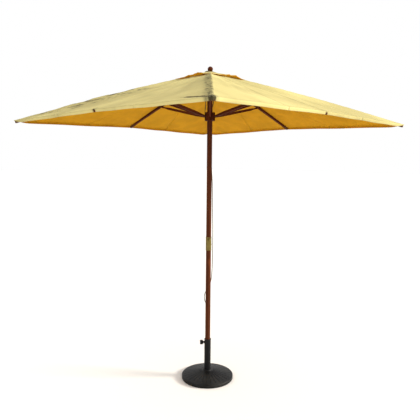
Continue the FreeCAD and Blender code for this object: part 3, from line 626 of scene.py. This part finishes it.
def stitch_tree():
    """Geometry nodes: small stitches along every curve, evenly spaced."""
    tree = bpy.data.node_groups.new("stitch_row", "GeometryNodeTree")
    face = tree.interface
    face.new_socket("Geometry", in_out="INPUT", socket_type="NodeSocketGeometry")
    for name, default in (("Pitch", 0.0046), ("Stitch Length", 0.0032), ("Thread", 0.0008)):
        socket = face.new_socket(name, in_out="INPUT", socket_type="NodeSocketFloat")
        socket.default_value = default
    face.new_socket("Material", in_out="INPUT", socket_type="NodeSocketMaterial")
    face.new_socket("Geometry", in_out="OUTPUT", socket_type="NodeSocketGeometry")

    def add(kind, **settings):
        made = tree.nodes.new(kind)
        for key, value in settings.items():
            setattr(made, key, value)
        return made

    source = add("NodeGroupInput")
    points = add("GeometryNodeCurveToPoints", mode="LENGTH")
    bead = add("GeometryNodeMeshUVSphere")
    for key, value in (("Segments", 6), ("Rings", 4), ("Radius", 0.5)):
        bead.inputs[key].default_value = value
    shape = add("ShaderNodeCombineXYZ")
    place = add("GeometryNodeInstanceOnPoints")
    realize = add("GeometryNodeRealizeInstances")
    soften = add("GeometryNodeSetShadeSmooth")
    paint = add("GeometryNodeSetMaterial")
    result = add("NodeGroupOutput")
    for giver, out, taker, entry in (
            (source, "Geometry", points, "Curve"),
            (source, "Pitch", points, "Length"),
            (source, "Thread", shape, "X"),
            (source, "Thread", shape, "Y"),
            (source, "Stitch Length", shape, "Z"),
            (points, "Points", place, "Points"),
            (bead, "Mesh", place, "Instance"),
            (points, "Rotation", place, "Rotation"),
            (shape, "Vector", place, "Scale"),
            (place, "Instances", realize, "Geometry"),
            (realize, "Geometry", soften, "Geometry"),
            (soften, "Geometry", paint, "Geometry"),
            (source, "Material", paint, "Material"),
            (paint, "Geometry", result, "Geometry")):
        tree.links.new(giver.outputs[out], taker.inputs[entry])
    return tree


def stitched(name, lines, tree, finish):
    """Stitches along lines of points, as a plain mesh."""
    curve = bpy.data.curves.new(name, "CURVE")
    curve.dimensions = "3D"
    for line in lines:
        spline = curve.splines.new("POLY")
        spline.points.add(len(line) - 1)
        for point, spot in zip(spline.points, line):
            point.co = (*spot, 1.0)
    holder = bpy.data.objects.new(name, curve)
    bpy.context.scene.collection.objects.link(holder)
    modifier = holder.modifiers.new("stitches", "NODES")
    modifier.node_group = tree
    for socket in tree.interface.items_tree:
        if socket.name == "Material" and socket.in_out == "INPUT":
            modifier[socket.identifier] = finish
    graph = bpy.context.evaluated_depsgraph_get()
    mesh = bpy.data.meshes.new_from_object(holder.evaluated_get(graph))
    bpy.data.objects.remove(holder)
    mesh.name = name
    return shown(name, mesh, finish)


# ---- operators


class ParasolStage(bpy.types.Operator):
    """Makes the floor, the lights and the camera"""

    bl_idname = "parasol.stage"
    bl_label = "Stage"

    LENS = 40.56
    SENSOR = 36.0
    EYE = (0.0081, -3.4837, 1.6517)
    HEADING = math.radians(45.0 - 0.53)
    PITCH = 0.1041
    ROLL = 0.0102
    FLOOR_REACH = 60.0
    SUN_HEIGHT = math.radians(20.0)
    AIM = Vector((0, 0, 1.2))

    def execute(self, context):
        scene = context.scene
        self.camera(scene)
        self.floor()
        self.lights(scene)
        return {"FINISHED"}

    def camera(self, scene):
        """Standing eye height, 3.5 m away, towards the canopy's near corner."""
        data = bpy.data.cameras.new("camera")
        data.lens = self.LENS
        data.sensor_width = self.SENSOR
        camera = bpy.data.objects.new("camera", data)
        scene.collection.objects.link(camera)
        spin = Matrix.Rotation(self.HEADING, 4, "Z")
        camera.matrix_world = (
            Matrix.Translation(spin @ Vector(self.EYE)) @ spin
            @ Matrix.Rotation(math.pi / 2 - self.PITCH, 4, "X") @ Matrix.Rotation(self.ROLL, 4, "Z"))
        scene.camera = camera

    def floor(self):
        mesh = bpy.data.meshes.new("floor")
        reach = self.FLOOR_REACH
        mesh.from_pydata([(-reach, -reach, 0), (reach, -reach, 0), (reach, reach, 0), (-reach, reach, 0)],
                         [], [(0, 1, 2, 3)])
        f = Finish("floor_finish")
        mesh.materials.append(f.done(f.principled(base_color=(0.78, 0.77, 0.75), roughness=0.9)))
        floor = bpy.data.objects.new("floor", mesh)
        bpy.context.scene.collection.objects.link(floor)
        floor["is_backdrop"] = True

    def lights(self, scene):
        world = bpy.data.worlds.new("studio")
        world.use_nodes = True
        sky = world.node_tree.nodes["Background"]
        sky.inputs["Color"].default_value = (1.0, 1.0, 1.0, 1.0)
        sky.inputs["Strength"].default_value = 1.0
        scene.world = world
        scene.view_settings.view_transform = "Standard"
        right, near = radial(45.0), radial(-45.0)
        sun = bpy.data.lights.new("key", "SUN")
        sun.energy = 5.0
        sun.angle = math.radians(14.0)
        sun.color = (1.0, 0.96, 0.88)
        key = bpy.data.objects.new("key", sun)
        shine = -(right * math.cos(self.SUN_HEIGHT) + near * 0.08 + Vector((0, 0, 0.37)))
        key.rotation_euler = shine.to_track_quat("-Z", "Y").to_euler()
        scene.collection.objects.link(key)
        soft = bpy.data.lights.new("fill", "AREA")
        soft.size = 2.5
        soft.energy = 14.0
        fill = bpy.data.objects.new("fill", soft)
        fill.location = near * 3.4 - right * 2.4 + Vector((0, 0, 1.0))
        fill.rotation_euler = (self.AIM - fill.location).to_track_quat("-Z", "Y").to_euler()
        scene.collection.objects.link(fill)


class ParasolRope(bpy.types.Operator):
    """Lays the three-strand lifting rope over the pulley and down beside the pole"""

    bl_idname = "parasol.rope"
    bl_label = "Rope"

    # Route seen square to the pulley, in metres: across, away, up.
    ROUTE = (
        (-0.0350, 0.0145, 2.010),
        (-0.0330, 0.0100, 2.044),
        (-0.0290, 0.0015, 2.094),
        (-0.0280, 0.0000, 2.158),
        (0.0280, 0.0000, 2.158),
        (0.0280, 0.0010, 2.096),
        (0.0235, 0.0135, 2.054),
        (0.0090, 0.0216, 2.012),
        (0.0086, 0.0220, 1.928),
        (0.0105, 0.0240, 1.845),
        (0.0095, 0.0255, 1.760),
        (0.0120, 0.0250, 1.676),
        (0.0170, 0.0215, 1.592),
        (0.0225, 0.0170, 1.508),
        (0.0255, 0.0120, 1.424),
        (0.0270, 0.0095, 1.338),
        (0.0280, 0.0070, 1.252),
        (0.0305, 0.0060, 1.166),
        (0.0310, 0.0050, 1.080),
        (0.0315, 0.0075, 0.994),
        (0.0300, 0.0080, 0.908),
        (0.0285, 0.0105, 0.824),
        (0.0220, 0.0175, 0.750),
        (0.0060, 0.0270, 0.705),
        (-0.0140, 0.0270, 0.672),
        (-0.0290, 0.0140, 0.640),
        (-0.0270, 0.0140, 0.598),
        (-0.0120, 0.0260, 0.566),
        (-0.0040, 0.0275, 0.538),
    )
    STEP = 0.0026
    STRAND_SIDES = 8
    # Radius of a strand as a share of the rope's.
    STRAND_SHARE = 0.54

    def execute(self, context):
        fittings = context.scene.parasol_fittings
        line = self.line()
        finish = rope_finish(fittings)
        radius = fittings.rope_diameter / 2
        rope = shown("lift_rope_strands", self.strands(line, radius, fittings.rope_lay), finish)
        knot = shown("stopper_knot", self.knot(line, radius), finish)
        for piece in (rope, knot):
            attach(piece, "upper_pole")
        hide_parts("lift_rope")
        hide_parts("rope_stopper")
        tuple(line[0])
        [tuple(p) for p in line]
        return {"FINISHED"}

    def line(self):
        """Points along the rope's smooth spline."""
        curve = bpy.data.curves.new("rope_line", "CURVE")
        curve.dimensions = "3D"
        curve.resolution_u = 24
        spline = curve.splines.new("NURBS")
        spline.points.add(len(self.ROUTE) - 1)
        spin = Matrix.Rotation(math.radians(45.0), 3, "Z")
        for point, spot in zip(spline.points, self.ROUTE):
            point.co = (*(spin @ Vector(spot)), 1.0)
        spline.order_u = 3
        spline.use_endpoint_u = True
        holder = bpy.data.objects.new("rope_line", curve)
        bpy.context.scene.collection.objects.link(holder)
        graph = bpy.context.evaluated_depsgraph_get()
        mesh = bpy.data.meshes.new_from_object(holder.evaluated_get(graph))
        bpy.data.objects.remove(holder)
        return [v.co.copy() for v in mesh.vertices]

    def even(self, line, step):
        """The same line with points at equal steps."""
        spots = np.array([tuple(p) for p in line])
        runs = np.linalg.norm(np.diff(spots, axis=0), axis=1)
        along = np.concatenate([[0.0], np.cumsum(runs)])
        count = int(along[-1] / step)
        at = np.linspace(0.0, along[-1], count + 1)
        spread = [np.interp(at, along, spots[:, k]) for k in range(3)]
        return [Vector(v) for v in zip(*spread)], at

    def strands(self, line, radius, lay):
        """Three round strands, twisted once round in every lay."""
        spots, at = self.even(line, self.STEP)
        strand = radius * self.STRAND_SHARE
        reach = radius - strand
        sides = self.STRAND_SIDES
        points = []
        faces = []
        flat = []
        normal = Vector((1, 0, 0))
        frames = []
        for i, spot in enumerate(spots):
            ahead = (spots[min(i + 1, len(spots) - 1)] - spots[max(i - 1, 0)]).normalized()
            normal = (normal - ahead * normal.dot(ahead)).normalized()
            frames.append((spot, normal.copy(), ahead.cross(normal), ahead))
        for number in range(3):
            start = len(points)
            for i, (spot, one, two, ahead) in enumerate(frames):
                turn = 2 * math.pi * (at[i] / lay + number / 3)
                heart = spot + (one * math.cos(turn) + two * math.sin(turn)) * reach
                for k in range(sides):
                    angle = 2 * math.pi * k / sides
                    points.append(heart + (one * math.cos(angle) + two * math.sin(angle)) * strand)
                    flat.append((strand * angle, at[i]))
            faces += rod_faces(len(frames), sides, start)
        mesh = mesh_of("lift_rope_strands", points, faces)
        flat_map(mesh, "fibre", flat)
        return mesh

    def knot(self, line, radius):
        """Overhand stopper: a trefoil of the same rope round the end."""
        end = line[-1] - Vector((0, 0, radius * 1.6))
        points = []
        faces = []
        steps = 72
        sides = 8
        spots = []
        for i in range(steps):
            t = 2 * math.pi * i / steps
            spots.append(end + Vector((math.sin(t) + 1.6 * math.sin(2 * t),
                                       math.cos(t) - 1.6 * math.cos(2 * t),
                                       -1.5 * math.sin(3 * t))) * radius * 0.62)
        normal = Vector((0, 0, 1))
        for i, spot in enumerate(spots):
            ahead = (spots[(i + 1) % steps] - spots[i - 1]).normalized()
            normal = (normal - ahead * normal.dot(ahead)).normalized()
            two = ahead.cross(normal)
            for k in range(sides):
                angle = 2 * math.pi * k / sides
                points.append(spot + (normal * math.cos(angle) + two * math.sin(angle)) * radius * 0.8)
        for i in range(steps):
            for k in range(sides):
                a, b = i * sides + k, i * sides + (k + 1) % sides
                c, d = ((i + 1) % steps) * sides + k, ((i + 1) % steps) * sides + (k + 1) % sides
                faces.append((a, b, d, c))
        mesh = mesh_of("stopper_knot", points, faces)
        mesh.uv_layers.new(name="fibre")
        return outward(mesh)


class ParasolCanopy(bpy.types.Operator):
    """Stretches the canopy over the ribs, one wedge on each, with its hems and seams"""

    bl_idname = "parasol.canopy"
    bl_label = "Canopy"

    ROWS = 150
    COLUMNS = 26
    SEAM_POINTS = 240
    HEM_POINTS = 96
    STITCH_LIFT = 0.0002

    def execute(self, context):
        cloth = context.scene.parasol_cloth
        finish = cloth_finish("canopy_cloth", cloth, CANOPY_PAINTED_GLOW)
        thread = thread_finish(cloth)
        tree = stitch_tree()
        for name, azimuth, _ in SECTORS:
            self.wedge(name, azimuth, cloth, finish, thread, tree)
        return {"FINISHED"}

    def wedge(self, name, azimuth, cloth, finish, thread, tree):
        hem_share = cloth.hem / (CANOPY_HALF - VENT_HALF)
        rows = [i / self.ROWS for i in range(self.ROWS + 1) if i / self.ROWS < 1 - hem_share - 0.004]
        rows += [1 - hem_share - 0.0012, 1 - hem_share, 1 - hem_share / 2, 1 - 0.0016, 1.0]
        rows += [1.25, 1.5, 1.75, 2.0]
        corner = at_corner(azimuth)

        def half_width(row):
            return (VENT_HALF + (CANOPY_HALF - VENT_HALF) * min(row, 1.0)) * HALF_SHARE

        def facing(fraction):
            """Level direction the hem faces at a point of this wedge."""
            if not corner:
                return radial(azimuth)
            turned = 45 * (smooth(-0.03, 0.03, fraction) * 2 - 1)
            return radial(azimuth + turned)

        def streaks_and_puckers(row, fraction):
            return streaks_and_puckers_at(name, fraction, abs(fraction) * half_width(row), min(row, 1.0))

        def spot(row, fraction):
            """Point of the lower face; rows above 1 go down the turned-over hem."""
            run = min(row, 1.0)
            off = abs(fraction) * half_width(run)
            point = wedge_point(
                azimuth, fraction,
                lambda share: VENT_HALF + (hem_across(share) - VENT_HALF) * run,
                lambda across, share, heading: canopy_height(across, share, cloth, heading))
            fade = 1.0 - abs(fraction) ** 6
            point.z += creases(name, fraction, off, run) * fade
            if row > 1.0:
                deep = cloth.lip
                if corner and name != "corner_pn":
                    deep *= 0.25 + 0.75 * smooth(0.0, 0.07, off)
                sway = 0.0012 * math.sin(off * 31 + azimuth) * fade
                point.z -= deep * (row - 1.0)
                point += facing(fraction) * (sway - 0.006) * (row - 1.0)
            return point

        def columns(row):
            seam = cloth.seam
            return wedge_columns(half_width(row), (0.004, seam - 0.0012, seam, seam + 0.004),
                                 self.COLUMNS)

        def thick(row, fraction):
            off = abs(fraction) * half_width(row)
            layers = 1.0
            if row > 1 - hem_share - 0.0002:
                layers += 1.0
            if off < cloth.seam - 0.0006:
                layers += 1.0
            depth = cloth.thickness * layers
            if row < 0.999:
                return Vector((0, 0, depth))
            down = 0.0 if row > 1.0 else depth
            return facing(fraction) * depth + Vector((0, 0, down))

        piece = cloth_wedge(name + "_canopy", azimuth, rows, columns, spot, thick, streaks_and_puckers, finish)
        area = sum(p.area for p in piece.data.polygons) / 2
        lines = []
        for off in (cloth.seam - 0.0025, -(cloth.seam - 0.0025)):
            line = []
            for i in range(self.SEAM_POINTS + 1):
                row = i / self.SEAM_POINTS * (1 - hem_share * 1.05)
                fraction = off / half_width(row)
                line.append(spot(row, fraction) + Vector((0, 0, cloth.thickness * 2 + self.STITCH_LIFT)))
            lines.append(line)
        for row in (1 - hem_share * 0.90, 1 - hem_share * 0.12):
            line = []
            for i in range(self.HEM_POINTS + 1):
                fraction = -0.999 + 1.998 * i / self.HEM_POINTS
                lift = cloth.thickness * (3.0 if abs(fraction) * half_width(row) < cloth.seam else 2.0)
                line.append(spot(row, fraction) + Vector((0, 0, lift + self.STITCH_LIFT)))
            lines.append(line)
        stitches = stitched(name + "_stitches", lines, tree, thread)
        fold_away(piece, name, azimuth)
        fold_away(stitches, name, azimuth)
        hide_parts(name + "_panel")
        flat = CORNER_FLAT if corner else SIDE_FLAT
        name + "_rib"
        min(area, flat[0] * flat[1])


class ParasolPockets(bpy.types.Operator):
    """Sews the dark pockets that hold the rib tips"""

    bl_idname = "parasol.pockets"
    bl_label = "Rib pockets"

    def execute(self, context):
        finish = pocket_finish(context.scene.parasol_cloth)
        for name, azimuth, rib in SECTORS:
            piece = shown(name + "_pocket", self.pocket(azimuth, rib), finish)
            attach(piece, name + "_rib")
        return {"FINISHED"}

    def pocket(self, azimuth, rib):
        """Sleeve round the rib's end, flattened on top where it is sewn to the hem."""
        out = radial(azimuth)
        side = lateral(azimuth)
        slope = rib["slope"]
        along = out * math.cos(slope) + Vector((0, 0, -math.sin(slope)))
        up = out * math.sin(slope) + Vector((0, 0, math.cos(slope)))
        pin = out * CROWN_R + Vector((0, 0, CROWN_Z))
        points = []
        sides = 20
        # distance before the rib's end, half width, half height
        sections = ((-0.062, 0.0090, 0.0082), (-0.060, 0.0098, 0.0092), (-0.030, 0.0100, 0.0090),
                    (-0.006, 0.0100, 0.0084), (0.0025, 0.0094, 0.0078), (0.0038, 0.0060, 0.0050))
        for back, wide, tall in sections:
            share = (rib["length"] + back) / rib["length"]
            lift = rib["arch"] * 4 * share * (1 - share)
            heart = pin + along * (rib["length"] + back) + up * (lift - 0.0012)
            for k in range(sides):
                angle = 2 * math.pi * k / sides
                x, y = math.cos(angle), math.sin(angle)
                x = math.copysign(abs(x) ** 0.55, x) * wide
                y = math.copysign(abs(y) ** 0.55, y) * tall
                points.append(heart + side * x + up * min(y, tall * 0.86))
        return outward(mesh_of("pocket", points, rod_faces(len(sections), sides)))


class ParasolVentCap(bpy.types.Operator):
    """Sets the square vent cap over the canopy's opening, with its gathered peak"""

    bl_idname = "parasol.vent_cap"
    bl_label = "Vent cap"

    ROWS = 36
    COLUMNS = 22
    HEM = 0.012

    # Each edge's billow: heading of its middle, where it is highest (-1 to 1), share of the full rise.
    BILLOWS = ((270, 0.35, 0.62), (0, 0.45, 0.62), (90, -0.2, 0.25), (180, 0.2, 0.25))

    def execute(self, context):
        cloth = context.scene.parasol_cloth
        finish = cloth_finish("cap_cloth", cloth, CAP_PAINTED_GLOW)
        for name, azimuth, _ in SECTORS:
            self.wedge(name, azimuth, cloth, finish)
        self.peak(cloth, finish)
        return {"FINISHED"}

    def billow(self, heading):
        turned = math.degrees(heading)
        for middle, top, share in self.BILLOWS:
            place = ((turned - middle + 180) % 360 - 180) / 45
            if abs(place) <= 1:
                climb = (place + 1) / (top + 1) if place < top else (1 - place) / (1 - top)
                return share * math.sin(math.pi / 2 * climb) ** 1.7
        return 0.0

    def height(self, cloth, across, heading):
        run = across / CAP_HALF
        plain = CAP_PEAK - (CAP_PEAK - CAP_RIM) * run
        rise = self.billow(heading)
        lift = cloth.billow * rise * run ** 1.8
        crease = 0.0030 * run ** 1.2 * math.sin(heading * 14 + 2.2 * math.sin(heading * 3 + 0.6))
        fine = 0.0012 * run * math.sin(heading * 37 + 5 * run)
        return plain + lift + (crease + fine) * min(1.0, rise * 2)

    def wedge(self, name, azimuth, cloth, finish):
        hem = self.HEM / (CAP_HALF - CAP_INNER)
        rows = [i / self.ROWS for i in range(self.ROWS + 1) if i / self.ROWS < 1 - hem - 0.01]
        rows += [1 - hem - 0.008, 1 - hem, 1 - 0.012, 1.0]

        def spot(row, fraction):
            return wedge_point(
                azimuth, fraction,
                lambda share: CAP_INNER + (CAP_HALF - CAP_INNER) * row,
                lambda across, share, heading: self.height(cloth, across, heading))

        def thick(row, fraction):
            return Vector((0, 0, cloth.thickness * (1.8 if row > 1 - hem - 0.001 else 1.0)))

        def streaks_and_puckers(row, fraction):
            return 0.25 * (1 - row), 0.75 * (1 - row) ** 2 + 0.2 * bell(fraction, 0.06)

        piece = cloth_wedge(name + "_cap", azimuth, rows,
                            lambda row: wedge_columns(1.0, (), self.COLUMNS), spot, thick, streaks_and_puckers, finish)
        fold_away(piece, name, azimuth)
        flat = CAP_CORNER_FLAT if at_corner(azimuth) else CAP_SIDE_FLAT
        name + "_rib"

    def peak(self, cloth, finish):
        """Puckered cone under the finial, over the inner ends of the cap's wedges."""
        sides = 96
        rings = 12
        inner = 0.0085
        outer = 0.050
        points = []
        faces = []
        for layer in (0.0, cloth.thickness):
            for i in range(rings + 1):
                reach = inner + (outer - inner) * i / rings
                for k in range(sides):
                    angle = 2 * math.pi * k / sides
                    square = max(abs(math.cos(angle)), abs(math.sin(angle)))
                    plain = self.height(cloth, reach * square, angle)
                    inward = 1 - i / rings
                    pucker = 0.0026 * math.sin(angle * 11 + 1.4 * math.sin(angle * 4)) * inward
                    lump = math.cos(angle - math.radians(250)) ** 9 if i else 0.0
                    lump = 0.007 * max(0.0, lump) * math.sin(math.pi * i / rings)
                    rise = 0.0014 + 0.0026 * inward + pucker + lump
                    points.append(Vector((reach * math.cos(angle), reach * math.sin(angle),
                                          plain + rise + layer)))
        size = (rings + 1) * sides
        for i in range(rings):
            for k in range(sides):
                a, b = i * sides + k, i * sides + (k + 1) % sides
                faces.append((a, a + sides, b + sides, b))
                faces.append((size + a, size + b, size + b + sides, size + a + sides))
        for ring in (0, rings * sides):
            for k in range(sides):
                a, b = ring + k, ring + (k + 1) % sides
                faces.append((a, b, size + b, size + a))
        mesh = mesh_of("cap_peak", points, faces)
        outward(mesh, weld=False)
        floats(mesh, "inside", [1.0] * size + [0.0] * size)
        for name, value in (("ridge", 0.3), ("pucker", 0.7), ("hem", 0.0)):
            floats(mesh, name, [value] * (2 * size))
        flat_map(mesh, "cloth", [p[:2] for p in points])
        piece = shown("cap_peak", mesh, finish)
        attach(piece, "upper_pole")
        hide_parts("vent_cap")


class ParasolFinishes(bpy.types.Operator):
    """Gives the wooden, metal and plastic parts their finishes"""

    bl_idname = "parasol.finishes"
    bl_label = "Wood, metal and plastic"

    CORNER_STRUT_RISE = math.radians(18.6)
    SIDE_STRUT_RISE = math.radians(12.0)

    def execute(self, context):
        timber = context.scene.parasol_timber
        fittings = context.scene.parasol_fittings
        upright = (0.0, -math.pi / 2, 0.0)
        pole = wood_finish("pole_wood", timber.pole_dark, timber.pole_light, upright)
        turned = wood_finish("turned_wood", timber.rib_dark, timber.rib_light, upright)
        steel = metal_finish("steel", (0.42, 0.41, 0.40), 0.3, 0.6)
        brass = metal_finish("aged_brass", fittings.brass, 0.34, 0.75)
        iron = painted_finish("cast_black", fittings.black, 260.0, 0.55)
        tube = painted_finish("tube_black", fittings.black, 700.0, 0.2)
        plastic = plastic_finish("black_plastic", (0.007, 0.007, 0.0075))
        groups = (
            (pole, ("lower_pole", "upper_pole")),
            (turned, ("finial", "crown_hub", "runner_hub")),
            (steel, ("crown_pins", "pulley_axle", "base_bolt", "base_washer", "clamp_screw")),
            (brass, ("pole_ferrule", "ferrule_screws", "runner_eye", "pulley_wheel")),
            (iron, ("base_disc",)),
            (tube, ("base_tube", "tube_plug", "clamp_boss")),
            (plastic, ("clamp_knob", "pole_bush", "clamp_pad")),
        )
        for finish, nodes in groups:
            for node in nodes:
                self.paint(node, finish)
        for name, azimuth, rib in SECTORS:
            self.paint(name + "_pin", steel)
            self.paint(name + "_rib", self.batten(name + "_rib", timber, azimuth, rib["slope"]))
            rise = self.CORNER_STRUT_RISE if at_corner(azimuth) else self.SIDE_STRUT_RISE
            self.paint(name + "_strut", self.batten(name + "_strut", timber, azimuth, -rise))
        return {"FINISHED"}

    def batten(self, name, timber, azimuth, tilt):
        """Wood whose grain runs outwards at azimuth, tilted down by tilt."""
        spin = Matrix.Rotation(math.radians(azimuth), 3, "Z") @ Matrix.Rotation(tilt, 3, "Y")
        return wood_finish(name, timber.rib_dark, timber.rib_light, tuple(spin.to_euler()))

    def paint(self, node, finish):
        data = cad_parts[node].data
        if data.materials:
            for number in range(len(data.materials)):
                data.materials[number] = finish
        else:
            data.materials.append(finish)


class PARASOL_PT_panel(bpy.types.Panel):
    """Lists the parasol's operators and settings"""

    bl_label = "Market Parasol"
    bl_idname = "PARASOL_PT_panel"
    bl_space_type = "VIEW_3D"
    bl_region_type = "UI"
    bl_category = "Parasol"

    def draw(self, context):
        layout = self.layout
        for operator in OPERATORS:
            layout.operator(operator.bl_idname)
        for group in ("parasol_cloth", "parasol_timber", "parasol_fittings"):
            settings = getattr(context.scene, group)
            box = layout.box()
            for name in settings.bl_rna.properties.keys():
                if name not in ("rna_type", "name"):
                    box.prop(settings, name)


GROUPS = {
    "parasol_cloth": ParasolCloth,
    "parasol_timber": ParasolTimber,
    "parasol_fittings": ParasolFittings,
}
OPERATORS = (ParasolStage, ParasolRope, ParasolCanopy, ParasolPockets, ParasolVentCap, ParasolFinishes)


def register():
    for made in (*GROUPS.values(), *OPERATORS, PARASOL_PT_panel):
        bpy.utils.register_class(made)
    for name, group in GROUPS.items():
        setattr(bpy.types.Scene, name, bpy.props.PointerProperty(type=group))


def unregister():
    for name in GROUPS:
        delattr(bpy.types.Scene, name)
    for made in reversed((*GROUPS.values(), *OPERATORS, PARASOL_PT_panel)):
        bpy.utils.unregister_class(made)


def plain(box):
    return [[round(float(v), 6) for v in corner] for corner in box]


def main():
    register()
    bpy.ops.parasol.stage()
    bpy.ops.parasol.rope()
    bpy.ops.parasol.canopy()
    bpy.ops.parasol.pockets()
    bpy.ops.parasol.vent_cap()
    bpy.ops.parasol.finishes()
    {"cad": plain(CAD_BOX), "visual": plain(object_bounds())}


if __name__ == "__main__":
    main()
